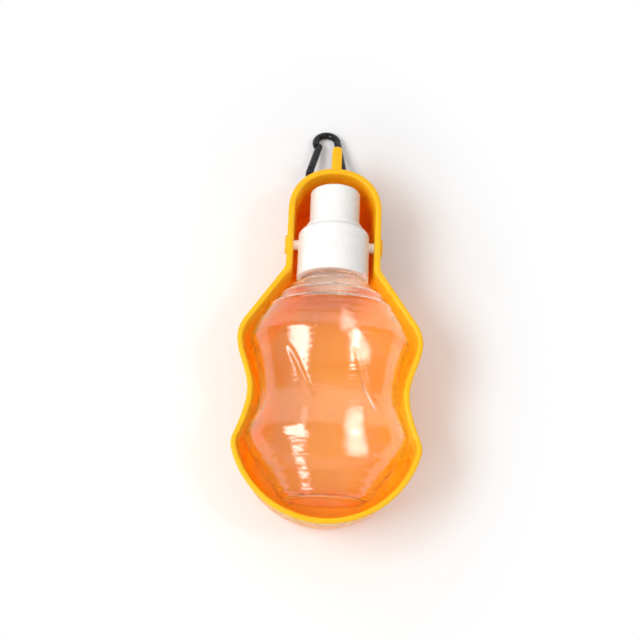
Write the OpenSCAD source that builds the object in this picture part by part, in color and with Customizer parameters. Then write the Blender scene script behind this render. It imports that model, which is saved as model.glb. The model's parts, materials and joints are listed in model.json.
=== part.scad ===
// Folding water bottle for a dog: a squeeze bottle that swings out of its own drinking trough.
// The trough lies on its back. +Y runs from the foot of the trough to its rounded head, +X across,
// +Z up. The origin is the middle of the trough's length, on the surface that it rests on.

/* [Cap] */
// Diameter of the screw cap
cap_d = 34; // [30:0.5:38]
// Length of the cap below the pivot axis
cap_skirt = 17.5; // [15:0.5:22]
// Height of the cap's shoulder above the pivot axis
cap_top = 7.2; // [6:0.1:10]
// Radius of the cap's shoulder
cap_round = 3.2; // [1:0.1:3.4]
// Wall of the skirt
cap_wall = 2.3; // [1.6:0.1:3]
// Thickness of the deck that the gasket presses on
deck_t = 2.8; // [2:0.1:3.5]
// Width of the wall round the nozzle's foot
collar_wall = 1.2; // [0.8:0.1:1.8]
// Height of that wall above the shoulder
collar_h = 2.4; // [0.6:0.1:3]

/* [Nozzle] */
// Diameter of the nozzle
nozzle_d = 24; // [20:0.5:26]
// Length of the nozzle that shows above the collar
nozzle_h = 18.6; // [16:0.1:21]
// Wall of the nozzle at its end
nozzle_end_t = 2.5; // [1.8:0.1:3.5]
// Radius round the nozzle's end
nozzle_round = 1.6; // [0.5:0.1:2.5]
// Diameter of the outlet
outlet_d = 6; // [4:0.5:8]
// How far the nozzle rises when it is opened
nozzle_lift = 2; // [1:0.1:3]
// How far the nozzle is turned to open it, in degrees
nozzle_turn = 120; // [90:5:180]
// Outer diameter of the spout post inside the nozzle
post_d = 14; // [12:0.5:16]
// Bore of the spout post
post_bore = 9; // [7:0.5:10]
// Section of the sealing ring
ring_t = 1.8; // [1.4:0.1:2.2]

/* [Bottle neck] */
// Outer diameter of the neck under its thread
neck_d = 26; // [24:0.5:27]
// Height of the thread on the neck
thread_h = 1; // [0.6:0.1:1.3]
// Pitch of the thread on the neck
thread_pitch = 4; // [3:0.5:5]
// Turns of the thread on the neck
thread_turns = 1.6; // [1:0.1:2]
// Wall of the neck
neck_wall = 1.6; // [1.2:0.1:2.2]
// Thickness of the gasket
gasket_t = 1.5; // [1:0.1:2]
// Radius of the bottle where it leaves the cap
root_r = 15.8; // [15:0.1:17]

/* [Bottle body] */
// Wall of the body
body_wall = 1; // [0.7:0.1:1.5]
// Thickness of the oval body as a share of its width
flatness = 0.73; // [0.65:0.01:0.8]
// Width of the body, over its upper lobe
body_w = 75.2; // [68:0.2:84]
// Width over the waist
waist_w = 63.2; // [56:0.2:68]
// How much narrower the body is over its lower lobe
lower_less = 0.8; // [0:0.2:6]
// Width of the base
base_w = 40.4; // [32:0.2:46]
// Length from the cap to the upper lobe
shoulder_len = 31.4; // [26:0.2:38]
// Length from the upper lobe to the waist
waist_in = 25.4; // [20:0.2:32]
// Length from the waist to the lower lobe
waist_out = 20.7; // [17:0.2:28]
// Length from the lower lobe to the base
taper_len = 28.8; // [24:0.2:36]
// Hollow under the base
base_hollow = 2.6; // [1.5:0.1:4]
// Height of the ring steps on the shoulder
step_h = 0.5; // [0.2:0.1:0.8]
// Distance of the first ring step from the cap
step_at = 10.7; // [8:0.1:13]
// Distance between the ring steps
step_pitch = 5.2; // [4:0.1:8]

/* [Trough] */
// Wall of the trough
tray_wall = 2.6; // [2:0.1:3.2]
// Wall of the trough at its neck, where the pivots are
tray_neck_wall = 2.9; // [2.6:0.1:3.6]
// Thickness of the floor
floor_t = 2.2; // [1.8:0.1:3]
// Gap between the cap and the neck of the trough
neck_gap = 2.5; // [2.1:0.1:4]
// Gap between the lobes of the bottle and the trough
side_gap = 2.8; // [2:0.1:5]
// Gap between the base of the bottle and the foot of the trough
foot_gap = 7.8; // [6:0.1:12]
// Gap between the nozzle and the head of the trough
head_gap = 7.7; // [5:0.1:12]
// Depth of the pivot axis below the rim
pivot_drop = 6.4; // [5.5:0.1:9]
// Room under the opened nozzle as it swings past the floor
sweep_gap = 0.6; // [0.4:0.1:3]
// How much wider than that gap the trough is on each side of the lower lobe
lower_extra = 0.8; // [0:0.1:3]
// How far below the pivot axis the neck starts to widen
flare_at = 11.4; // [8:0.2:14]
// How far the trough's lower lobe lies beyond the bottle's
lower_shift = 3.8; // [2:0.1:6]
// How far the rounded corner of the lower lobe reaches along side and foot
corner_reach = 3; // [1:0.1:5]
// Slope of the wall at the head, in degrees
head_draft = 4; // [2:0.5:6]
// Slope of the wall at the foot, in degrees
foot_draft = 6; // [4:0.5:10]
// Radius between wall and floor, outside
floor_round = 9; // [6:0.5:12]
// Radius of the rim's edges
rim_round = 0.9; // [0.4:0.1:1.2]

/* [Pivots] */
// Diameter of the pivot pins
pin_d = 5; // [4:0.1:6]
// Radial play of a pin in its socket
pin_play = 0.06; // [0.02:0.01:0.1]
// Depth of the sockets
socket_t = 2.4; // [2:0.1:2.8]
// Diameter of the bosses outside the sockets
boss_d = 9; // [8:0.1:12]
// How far the bosses stand out of the wall
boss_out = 0.9; // [0.8:0.1:2]

/* [Ear] */
// Thickness of the ear
ear_t = 4.8; // [3.8:0.1:5.6]
// How far the ear stands out of the head
ear_len = 12.3; // [11:0.1:15]
// Width of the slot in the ear
slot_w = 6.6; // [6:0.1:8]
// Length of the slot in the ear
slot_len = 16; // [12:0.5:22]
// Height of the slot's lower end, at the centre of its curve
slot_z = 12; // [10:0.5:14]
// Material between the slot and the ear's edge
ear_rim = 3.2; // [2.6:0.1:4]

/* [Clip] */
// Thickness of the clip's wire
wire_d = 3.8; // [3:0.1:4]
// Length of the clip from the ear to its far end
clip_len = 36.6; // [34:0.1:44]
// Bend of the clip's far loop, on the middle of the wire
loop_r = 5.6; // [4.8:0.05:6.2]
// Bend of the clip beside the ear, on the middle of the wire
corner_r = 4.6; // [4.4:0.1:5.4]
// Sideways distance from the ear to the gate's pivot
clip_w = 13.3; // [12.5:0.1:18]
// Diameter of the gate
gate_d = 3.8; // [3:0.1:4]
// Diameter of the rivet
rivet_d = 1.6; // [1.2:0.1:1.8]
// Gap between the gate and the nose that it rests against
nose_gap = 0.35; // [0.3:0.05:0.6]

/* [Hidden] */

$fn = 72;
fine = 0.01;                 // overlap that joins two solids of one piece
play = 0.3;                  // gap between pieces that move past each other

tray_colour = [1.0, 0.62, 0.05];
bottle_colour = [1.0, 0.93, 0.88, 0.35];
white_colour = [0.97, 0.96, 0.94];
seal_colour = [0.75, 0.78, 0.80];
clip_colour = [0.08, 0.08, 0.09];
steel_colour = [0.70, 0.70, 0.72];

// Along the axis of cap and bottle: heights above the pivot axis.
cap_r = cap_d / 2;
neck_r = neck_d / 2;
pocket_depth = 3.3;                      // depth of the pocket that the nozzle slides in
pocket_z = cap_top - pocket_depth;       // floor of that pocket
deck_z = pocket_z - deck_t;              // underside of the deck
mouth_z = deck_z - gasket_t;             // mouth of the bottle
collar_z = cap_top + collar_h;
nozzle_end = collar_z + nozzle_h;
nozzle_r = nozzle_d / 2;
collar_bore = nozzle_r + play;
collar_r = collar_bore + collar_wall;

// Below the pivot axis, towards the foot: distances from the pivot axis.
upper_at = cap_skirt + shoulder_len;
waist_at = upper_at + waist_in;
lower_at = waist_at + waist_out;
base_at = lower_at + taper_len;

lower_w = body_w - lower_less;

// Size of the trough round them.
head_end = nozzle_end + head_gap + tray_neck_wall;
foot_end = base_at + foot_gap + tray_wall;
tray_len = head_end + foot_end;
pivot_y = tray_len / 2 - head_end;
sweep_r = sqrt(pow(nozzle_end + nozzle_lift, 2) + pow(nozzle_r, 2));
pivot_z = floor_t + sweep_gap + max(sweep_r, body_w * flatness / 2);
rim_z = pivot_z + pivot_drop;
neck_half = cap_r + neck_gap + tray_neck_wall;
upper_half = body_w / 2 + side_gap + tray_wall;
waist_half = waist_w / 2 + side_gap + tray_wall;
lower_half = lower_w / 2 + side_gap + lower_extra + tray_wall;
corner_at = lower_at + lower_shift;
foot_reach = foot_end - corner_at;
foot_centre = (foot_end + corner_at - pow(lower_half, 2) / foot_reach) / 2;
foot_r = foot_end - foot_centre;

// ---- shared curves ----

function clamp01(t) = min(1, max(0, t));
function smooth(t) = let (u = clamp01(t)) u * u * (3 - 2 * u);
// Cubic from a to b over the length run, with the slopes ma and mb at its ends.
function cubic(t, a, b, ma, mb, run) = a + (b - a) * smooth(t)
    + run * (ma * (pow(t, 3) - 2 * t * t + t) + mb * (pow(t, 3) - t * t));
// Rise of a straight slope over run, eased in over bend_in and out over bend_out.
function eased(d, rise, run, bend_in, bend_out) =
    let (m = rise / (run - (bend_in + bend_out) / 2))
    d <= 0 ? 0 :
    d < bend_in ? m * d * d / (2 * bend_in) :
    d < run - bend_out ? m * (d - bend_in / 2) :
    d < run ? rise - m * pow(run - d, 2) / (2 * bend_out) : rise;

// Skin over a list of rings of equal length, from the first ring's face to the last one's.
module skin(rings) {
    n = len(rings[0]);
    m = len(rings);
    sides = [for (k = [0:m - 2], i = [0:n - 1], half = [0, 1])
        let (j = (i + 1) % n)
        half == 0 ? [k * n + i, k * n + j, (k + 1) * n + j]
            : [k * n + i, (k + 1) * n + j, (k + 1) * n + i]];
    first = [for (i = [n - 1:-1:0]) i];
    last = [for (i = [0:n - 1]) (m - 1) * n + i];
    polyhedron(points = [for (ring = rings, p = ring) p], faces = concat([first], sides, [last]));
}

// Screw ridge round the Z axis, thin at both ends, from the radius r outwards by h (inwards if negative).
module ridge(r, h, thick, pitch, turns, start = 0, z0 = 0) {
    steps = ceil(turns * 36);
    skin([for (k = [0:steps])
        let (
            turn = k / steps * turns,
            angle = start + 360 * turn,
            fade = min(1, 6 * min(k, steps - k) / steps + 0.15),
            z = z0 + pitch * turn,
            root = r - sign(h) * 0.4,
            crest = r + h * fade,
            half_root = thick / 2 * (h > 0 ? 1 : -1),
            half_crest = half_root * 0.5
        )
        [for (q = [[root, -half_root], [crest, -half_crest], [crest, half_crest], [root, half_root]])
            [q[0] * cos(angle), q[0] * sin(angle), z + q[1]]]]);
}

module at_pivot() {
    translate([0, pivot_y, pivot_z]) children();
}

// Turns the Z axis onto +Y, the axis of cap and bottle.
module along_bottle() {
    at_pivot() rotate([-90, 0, 0]) children();
}

// ---- trough ----

head_points = 11;
side_points = 28;
corner_points = 4;
foot_points = 12;
head_power = 2 / 2.15;       // a little squarer than a half circle
corner_slope = 0.35;         // slope of the side where it meets the foot

// Half width of the trough at the distance d below the pivot axis.
function side_half(d) =
    d < upper_at ? neck_half + eased(d - flare_at, upper_half - neck_half, upper_at - flare_at, 4, 10) :
    d < waist_at ? upper_half + (waist_half - upper_half) * smooth((d - upper_at) / waist_in) :
    let (run = corner_at - waist_at)
    cubic((d - waist_at) / run, waist_half, lower_half, 0, corner_slope, run);
function side_slope(d) = (side_half(d + 0.2) - side_half(d - 0.2)) / 0.4;

function draft_at(d) = head_draft
    + (foot_draft - head_draft) * smooth((d + head_end) / (foot_end + head_end));
function wall_at(d) = tray_neck_wall + (tray_wall - tray_neck_wall) * smooth((d - flare_at) / 20);

// Right half of the outline, from the head to the foot, drawn in by the depth's slope, by walls
// times the wall and by extra.
function half_outline(depth, walls, extra) =
    let (
        drawn = function (d) depth * tan(draft_at(d)) + walls * wall_at(d) + extra,
        head_in = drawn(-head_end),
        head_centre = neck_half - head_end,
        head_r = neck_half - head_in,
        corner_angle = atan2(corner_at - foot_centre, lower_half),
        corner_in = drawn(corner_at),
        corner = [(foot_r - corner_in) * cos(corner_angle),
            foot_centre + (foot_r - corner_in) * sin(corner_angle)],
        end_half = lower_half - corner_in * sqrt(1 + pow(corner_slope, 2)),
        side_end = corner - corner_reach * [corner_slope, 1] / norm([corner_slope, 1]),
        foot_turn = corner_reach / foot_r * 180 / PI,
        foot_start = corner_angle + foot_turn,
        foot_first = foot_arc(foot_start, drawn)
    )
    concat(
        [for (i = [0:head_points - 1])
            let (a = 90 - 90 * i / head_points)
            [head_r * pow(cos(a), head_power), head_centre - head_r * pow(sin(a), head_power)]],
        [for (i = [0:side_points - 1])
            let (
                d = head_centre + (side_end[1] - head_centre) * i / side_points,
                t = smooth((d - waist_at) / (corner_at - waist_at)),
                half = side_half(d) - drawn(d) * sqrt(1 + pow(side_slope(d), 2))
            )
            [half + t * (corner[0] - end_half), d]],
        [for (i = [0:corner_points - 1])
            let (t = i / corner_points)
            pow(1 - t, 2) * side_end + 2 * t * (1 - t) * corner + t * t * foot_first],
        [for (i = [0:foot_points - 1])
            foot_arc(foot_start + (90 - foot_start) * i / foot_points, drawn)]
    );
// Point of the foot's arc at the angle a, drawn in as half_outline says.
function foot_arc(a, drawn) =
    let (r = foot_r - drawn(foot_centre + foot_r * sin(a)))
    [r * cos(a), foot_centre + r * sin(a)];

// One closed ring of the trough at the height z.
function tray_ring(z, walls, extra) =
    let (
        right = half_outline(rim_z - z, walls, extra),
        n = len(right),
        foot_in = (rim_z - z) * tan(foot_draft) + walls * wall_at(foot_end) + extra
    )
    [for (k = [0:2 * n - 1])
        let (
            p = k < n ? right[k] : k == n ? [0, foot_end - foot_in] : right[2 * n - k],
            side = k <= n ? -1 : 1
        )
        [side * p[0], pivot_y - p[1], z]];

module tray_shell() {
    inner_round = floor_round - tray_wall;
    bends = [15, 35, 55, 75, 90];       // stations round the bend between wall and floor
    inner_floor = [for (i = [len(bends) - 1:-1:0])
        tray_ring(floor_t + inner_round * (1 - sin(bends[i])), 1,
            inner_round * (1 - cos(bends[i])))];
    rim = [
        tray_ring(rim_z - rim_round, 1, 0),
        tray_ring(rim_z - rim_round * 0.3, 1, -rim_round * 0.3),
        tray_ring(rim_z, 1, -rim_round),
        tray_ring(rim_z, 0, rim_round),
        tray_ring(rim_z - rim_round * 0.3, 0, rim_round * 0.3),
        tray_ring(rim_z - rim_round, 0, 0)
    ];
    outer_floor = [for (a = bends)
        tray_ring(floor_round * (1 - sin(a)), 0, floor_round * (1 - cos(a)))];
    skin(concat(inner_floor, rim, outer_floor));
}

// Boss and blind socket of one pivot, on the side +1 or -1.
pin_r = pin_d / 2;
socket_floor = neck_half - tray_neck_wall - pivot_drop * tan(head_draft) + socket_t;
boss_face = neck_half + boss_out;
boss_root = socket_floor - socket_t + 0.6;

module boss(side) {
    translate([0, pivot_y, pivot_z]) rotate([0, 90 * side, 0])
        translate([0, 0, boss_root]) cylinder(d = boss_d, h = boss_face - boss_root);
}
module socket(side) {
    translate([0, pivot_y, pivot_z]) rotate([0, 90 * side, 0])
        translate([0, 0, cap_r]) cylinder(r = pin_r + pin_play, h = socket_floor - cap_r);
}

// Ear: an upright plate that grows out of the head, with a slot for the clip.
ear_y = tray_len / 2 + ear_len;
slot_r = slot_w / 2;
slot_y = ear_y - ear_rim - slot_r;
ear_corner = 1.2;
ear_low = slot_z - slot_r - ear_rim;
ear_tip_r = slot_r + ear_rim;

module ear_plate() {
    root_low = tray_len / 2 - (rim_z - ear_low) * tan(head_draft) - tray_neck_wall * 0.7;
    ear_high = rim_z - rim_round * 0.3;
    intersection() {
        rotate([90, 0, 90]) translate([0, 0, -ear_t / 2]) difference() {
            linear_extrude(ear_t) union() {
                translate([slot_y, slot_z]) circle(r = ear_tip_r);
                translate([root_low, ear_low]) square([slot_y - root_low, ear_tip_r]);
                translate([slot_y, slot_z]) square([ear_tip_r, ear_high - ear_corner - slot_z]);
                translate([root_low, slot_z]) square([slot_y - root_low, ear_high - slot_z]);
                translate([slot_y - fine, slot_z])
                    square([ear_tip_r - ear_corner + fine, ear_high - slot_z]);
                translate([ear_y - ear_corner, ear_high - ear_corner]) circle(r = ear_corner);
            }
            translate([slot_y, slot_z, -1]) cylinder(r = slot_r, h = ear_t + 2);
            translate([slot_y, slot_z + slot_len - slot_w, -1]) cylinder(r = slot_r, h = ear_t + 2);
            translate([slot_y - slot_r, slot_z, -1]) cube([slot_w, slot_len - slot_w, ear_t + 2]);
        }
        // The tip is a half round, seen from above.
        linear_extrude(rim_z) {
            translate([0, ear_y - ear_t / 2]) circle(d = ear_t);
            translate([-ear_t, root_low - 1]) square([2 * ear_t, ear_y - ear_t / 2 - root_low + 1]);
        }
    }
}

module tray() {
    color(tray_colour) difference() {
        union() {
            tray_shell();
            boss(1);
            boss(-1);
            ear_plate();
        }
        socket(1);
        socket(-1);
    }
}

// ---- bottle ----

bottle_sides = 44;
neck_bore = neck_r - neck_wall;

// Half width of the body at the distance d below the pivot axis.
function body_plain(d) =
    d < upper_at ? let (run = upper_at - cap_skirt - 1)
        cubic((d - cap_skirt - 1) / run, root_r, body_w / 2, 1.1, 0.25, run) :
    d < waist_at ? cubic((d - upper_at) / waist_in, body_w / 2, waist_w / 2, -0.38, 0, waist_in) :
    d < lower_at ? cubic((d - waist_at) / waist_out, waist_w / 2, lower_w / 2, 0, 0.15, waist_out) :
    cubic((d - lower_at) / taper_len, lower_w / 2, base_w / 2, -0.05, -0.35, taper_len);
// The same with its lobes' edges rounded and the ring steps on its shoulder.
function body_half(d) =
    let (
        near = 1.2,
        even = (body_plain(max(d - near, cap_skirt + 1)) + body_plain(d)
            + body_plain(min(d + near, base_at))) / 3,
        steps = [for (at = [step_at, step_at + step_pitch])
            step_h * max(0, 1 - abs(d - cap_skirt - at) / 1.3)]
    )
    even + max(steps);
// The neck is round, the body oval.
function flat_at(d) = 1 - (1 - flatness) * smooth((d - cap_skirt - 1) / (upper_at - cap_skirt - 4));

// Ring of the bottle at the distance d below the pivot axis, in by the amount given.
function body_ring(d, half, share) = [for (i = [0:bottle_sides - 1])
    let (a = 360 * i / bottle_sides)
    [half[0] * share * cos(a), half[1] * share * sin(a), -d]];
function body_halves(d, inward) = [body_half(d) - inward, body_half(d) * flat_at(d) - inward];

module bottle_shell() {
    root_at = cap_skirt + 1;
    first = root_at + 0.7;
    floor_at = base_at - base_hollow - body_wall;
    // Stations close together on the shoulder, wider apart below.
    outer_at = concat([for (k = [0:13]) first + (upper_at - 2 - first) * k / 13],
        [for (k = [0:24]) upper_at - 1 + (base_at - upper_at) * k / 24]);
    inner_at = [for (k = [0:22]) first + (floor_at - 0.6 - first) * k / 22];
    neck_in = [neck_bore, neck_bore];
    neck_out = [neck_r, neck_r];
    bead = [root_r - 0.8, root_r - 0.8];
    base_half = body_halves(base_at, 0);
    skin(concat(
        [body_ring(floor_at, body_halves(floor_at, body_wall * 2), 1)],
        [for (k = [len(inner_at) - 1:-1:0]) body_ring(inner_at[k], body_halves(inner_at[k], body_wall), 1)],
        [body_ring(root_at - 1.5, neck_in, 1), body_ring(-mouth_z + 0.4, neck_in, 1),
            body_ring(-mouth_z, neck_in * 1.03, 1), body_ring(-mouth_z, neck_out * 0.97, 1),
            body_ring(-mouth_z + 0.4, neck_out, 1), body_ring(cap_skirt - 2.4, neck_out, 1),
            body_ring(cap_skirt - 1.6, bead * 0.95, 1), body_ring(cap_skirt - 0.6, bead * 0.95, 1),
            body_ring(cap_skirt + 0.3, bead, 1)],
        [for (d = outer_at) body_ring(d, body_halves(d, 0), 1)],
        [body_ring(base_at, base_half, 0.96), body_ring(base_at, base_half, 0.86),
            body_ring(base_at - base_hollow * 0.75, base_half, 0.7),
            body_ring(base_at - base_hollow, base_half, 0.45)]
    ));
}

module bottle() {
    color(bottle_colour) along_bottle() {
        bottle_shell();
        ridge(neck_r, thread_h, 1.4, thread_pitch, thread_turns, 0, mouth_z - 3 - thread_pitch * thread_turns);
    }
}

// ---- cap ----

skirt_bore = cap_r - cap_wall;
post_r = post_d / 2;
plug_r = outlet_d / 2 - 0.08;
outlet_z = nozzle_end - nozzle_end_t;    // lower edge of the outlet
plug_top = outlet_z + min(nozzle_lift, nozzle_end_t) * 0.65;
post_top = outlet_z - play - 4;          // end of the post's tube, below the plug's ribs
ring_z = post_top - 2.2;                 // height of the sealing ring
screw_h = 0.9;                           // height of the nozzle's screw ridges
screw_pitch = nozzle_lift * 360 / nozzle_turn;

// Profile of the cap: half a section, from the axis outwards.
module cap_profile() {
    difference() {
        union() {
            translate([0, -cap_skirt]) square([cap_r, cap_skirt + cap_top - cap_round]);
            translate([0, cap_top - cap_round - fine]) square([cap_r - cap_round, cap_round + fine]);
            intersection() {
                translate([cap_r - cap_round, cap_top - cap_round]) circle(r = cap_round);
                translate([0, cap_top - cap_round - fine]) square([cap_r, cap_round + fine]);
            }
            translate([0, cap_top - fine]) square([collar_r, collar_h + fine]);
        }
        translate([-1, -cap_skirt - 1]) square([skirt_bore + 1, cap_skirt + 1 + deck_z]);
        translate([post_r, pocket_z]) square([collar_bore - post_r, 40]);
        translate([-1, deck_z - 1]) square([post_bore / 2 + 1, 60]);
    }
    translate([post_bore / 2, pocket_z - fine]) square([post_r - post_bore / 2, post_top - pocket_z + fine]);
}

module cap_ribs() {
    rib_t = 1.4;
    rib_h = 2.4;
    for (a = [0, 120, 240]) rotate([0, 0, a]) translate([0, -rib_t / 2, post_top - 3])
        cube([post_bore / 2 + 0.4, rib_t, rib_h]);
}

module pivot_pins() {
    pin_end = socket_floor - play;
    rotate([0, 90, 0]) {
        translate([0, 0, skirt_bore + 0.3]) cylinder(r = pin_r, h = pin_end - skirt_bore - 0.3);
        translate([0, 0, -pin_end]) cylinder(r = pin_r, h = pin_end - skirt_bore - 0.3);
    }
}

module cap_body() {
    inner_ridge_z = mouth_z - 3 - thread_pitch * (thread_turns - 0.5);
    color(white_colour) along_bottle() {
        rotate_extrude() cap_profile();
        translate([0, 0, post_top - 3]) cylinder(r = plug_r * 0.8, h = 3 + fine);
        translate([0, 0, post_top - fine]) cylinder(r = plug_r, h = plug_top - post_top + fine);
        cap_ribs();
        pivot_pins();
        ridge(skirt_bore, -thread_h, 1.3, thread_pitch, thread_turns, 0, inner_ridge_z);
        for (start = [0, 180])
            ridge(post_r, screw_h, 1.1, screw_pitch, 0.45, start, pocket_z + 2.6);
    }
}

module neck_gasket() {
    color(seal_colour) along_bottle() translate([0, 0, mouth_z]) difference() {
        cylinder(r = skirt_bore - thread_h * 0.5 - 0.9, h = gasket_t);
        translate([0, 0, -1]) cylinder(r = neck_bore - 0.5, h = gasket_t + 2);
    }
}

// ---- nozzle ----

nozzle_bore = post_r + screw_h + 0.35;   // bore round the screw ridges
slide_bore = post_r + 0.4;               // bore round the upper post
groove_r = post_r + 0.05 + ring_t + 0.06;

module nozzle_profile() {
    foot_z = pocket_z + 0.5;
    screw_top = ring_z - ring_t / 2 - 1.6;
    difference() {
        union() {
            translate([0, foot_z]) square([nozzle_r, nozzle_end - nozzle_round - foot_z]);
            translate([0, nozzle_end - nozzle_round - fine])
                square([nozzle_r - nozzle_round, nozzle_round + fine]);
            intersection() {
                translate([nozzle_r - nozzle_round, nozzle_end - nozzle_round]) circle(r = nozzle_round);
                translate([0, nozzle_end - nozzle_round - fine]) square([nozzle_r, nozzle_round + fine]);
            }
        }
        translate([-1, foot_z - 1]) square([nozzle_bore + 1, screw_top - foot_z + 1]);
        translate([-1, foot_z - 1]) square([slide_bore + 1, outlet_z - foot_z + 1]);
        translate([0, ring_z - ring_t / 2 - 0.08]) square([groove_r, ring_t + 0.16]);
        translate([-1, foot_z]) square([outlet_d / 2 + 1, 60]);
    }
}

module nozzle() {
    color(white_colour) along_bottle() {
        rotate_extrude() nozzle_profile();
        for (start = [90, 270])
            ridge(nozzle_bore, -screw_h, 1.1, screw_pitch, 0.2, start, pocket_z + 2.6);
    }
}

module nozzle_o_ring() {
    color(seal_colour) along_bottle() translate([0, 0, ring_z])
        rotate_extrude() translate([post_r + 0.05 + ring_t / 2, 0]) circle(d = ring_t);
}

// ---- clip ----

wire_r = wire_d / 2;
gate_r = gate_d / 2;
rivet_r = rivet_d / 2;
loop_x = -4.8;                           // middle of the far loop, beside the ear's middle
corner_x = 0.2;                          // where the wire starts to bend, beside the ear's middle
tongue_t = 1.1;                          // the frame's end, flattened for the gate's fork
tongue_w = 3;
rivet_up = 2.3;                          // from the end of the wire to the rivet
fork_gap = tongue_t / 2 + play;
fork_out = 1.5;                          // outer face of the fork
head_t = 0.4;
spring_d = 0.6;
spring_len = 11;
gate_lean = 76.8;                        // from the X axis to the gate
nose_angle = 208;                        // end of the far loop
lap_side = 0.6;                          // from the gate's axis to the face that meets the nose
lap_len = 1.7;                           // how far the gate's tip passes the nose's end
rest_gap = 0.05;                         // under the clip as it lies on the surface
clip_tilt = asin((slot_z - wire_r - rest_gap) / (clip_len - wire_r));

corner_c = [corner_x, corner_r];
loop_c = [loop_x, clip_len - wire_r - loop_r];
loop_off = loop_c - corner_c;
side_angle = atan2(loop_off[1], loop_off[0]) - acos((corner_r - loop_r) / norm(loop_off));
foot_c = [-clip_w + corner_r, corner_r];
rivet_p = [-clip_w, corner_r + rivet_up];
gate_dir = [cos(gate_lean), sin(gate_lean)];
nose_dir = [cos(nose_angle), sin(nose_angle)];
gate_len = (loop_c + loop_r * nose_dir - rivet_p) * gate_dir + lap_len;
// Lower corner of the nose, along the gate.
nose_low = (loop_c + (loop_r + wire_r) * nose_dir - rivet_p) * gate_dir;

// Puts the clip's own plane, X across and Y away from the ear, where the clip lies.
module in_clip() {
    translate([0, slot_y, slot_z]) rotate([-clip_tilt, 0, 0]) children();
}
module at_rivet() {
    in_clip() translate([rivet_p[0], rivet_p[1], 0]) children();
}
// Points of an arc of the wire's middle, each with its direction of travel.
function arc(c, r, from, to, steps) = [for (k = [0:steps])
    let (a = from + (to - from) * k / steps)
    [c[0] + r * cos(a), c[1] + r * sin(a), a + 90]];

module wire_tube() {
    wire_sides = 20;
    path = concat(
        arc(foot_c, corner_r, 180, 270, 8),
        arc(corner_c, corner_r, 270, 360 + side_angle, 9),
        arc(loop_c, loop_r, side_angle, nose_angle, 16)
    );
    skin([for (p = path) [for (i = [0:wire_sides - 1])
        let (a = 360 * i / wire_sides)
        [p[0] + wire_r * cos(a) * sin(p[2]), p[1] - wire_r * cos(a) * cos(p[2]), wire_r * sin(a)]]]);
}

module clip_frame() {
    color(clip_colour) in_clip() difference() {
        union() {
            wire_tube();
            translate([-clip_w - tongue_w / 2, corner_r - 0.8, -tongue_t / 2])
                cube([tongue_w, rivet_up + 0.8, tongue_t]);
            translate([rivet_p[0], rivet_p[1], -tongue_t / 2]) cylinder(d = tongue_w, h = tongue_t);
        }
        translate([rivet_p[0], rivet_p[1], -3]) cylinder(r = rivet_r + 0.05, h = 6);
        translate([rivet_p[0], rivet_p[1], 0]) rotate([0, 0, gate_lean]) {
            rotate([0, 90, 0]) translate([0, 0, tongue_w / 2 - 0.4])
                cylinder(r = spring_d / 2 + 0.1, h = 2);
            // Flat inside the nose, for the gate's tip.
            translate([nose_low - 1, lap_side + nose_gap / 2 - wire_d, -wire_r - 1])
                cube([gate_len + nose_gap - nose_low + 1, wire_d, wire_d + 2]);
        }
    }
}

module clip_gate() {
    color(clip_colour) at_rivet() rotate([0, 0, gate_lean]) difference() {
        union() {
            rotate([0, 90, 0]) cylinder(r = gate_r, h = gate_len - gate_r);
            translate([gate_len - gate_r, 0, 0]) sphere(r = gate_r);
            intersection() {
                translate([0, 0, -gate_r]) cylinder(r = gate_r, h = gate_d);
                rotate([0, 90, 0]) translate([0, 0, -gate_r]) cylinder(r = gate_r, h = 2 * gate_r);
            }
        }
        translate([-gate_r - 1, -gate_r - 1, -fork_gap])
            cube([gate_r + 1 + tongue_w / 2 + play, gate_d + 2, 2 * fork_gap]);
        // Flat outside the tip, for the nose.
        translate([nose_low - nose_gap, lap_side - nose_gap / 2, -gate_r - 1])
            cube([gate_len, gate_d, gate_d + 2]);
        translate([-gate_r - 1, -gate_r - 1, fork_out]) cube([gate_r + 4, gate_d + 2, 2]);
        translate([-gate_r - 1, -gate_r - 1, -fork_out - 2]) cube([gate_r + 4, gate_d + 2, 2]);
        translate([0, 0, -3]) cylinder(r = rivet_r + 0.05, h = 6);
        rotate([0, 90, 0]) cylinder(r = spring_d / 2 + 0.05, h = tongue_w / 2 + spring_len);
    }
}

module clip_rivet() {
    color(steel_colour) at_rivet() {
        translate([0, 0, -fork_out - head_t]) cylinder(r = rivet_r + 0.5, h = head_t);
        translate([0, 0, -fork_out - fine]) cylinder(r = rivet_r, h = 2 * (fork_out + fine));
        translate([0, 0, fork_out]) cylinder(r = rivet_r + 0.5, h = head_t);
    }
}

module clip_spring() {
    color(steel_colour) at_rivet() rotate([0, 0, gate_lean]) rotate([0, 90, 0])
        translate([0, 0, tongue_w / 2 - 0.3]) cylinder(d = spring_d, h = spring_len);
}

tray();
bottle();
cap_body();
neck_gasket();
nozzle();
nozzle_o_ring();
clip_frame();
clip_gate();
clip_rivet();
clip_spring();
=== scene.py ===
import json
import math

import bmesh
import bpy
import numpy as np
from mathutils import Matrix, Vector, noise as lumps


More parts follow.
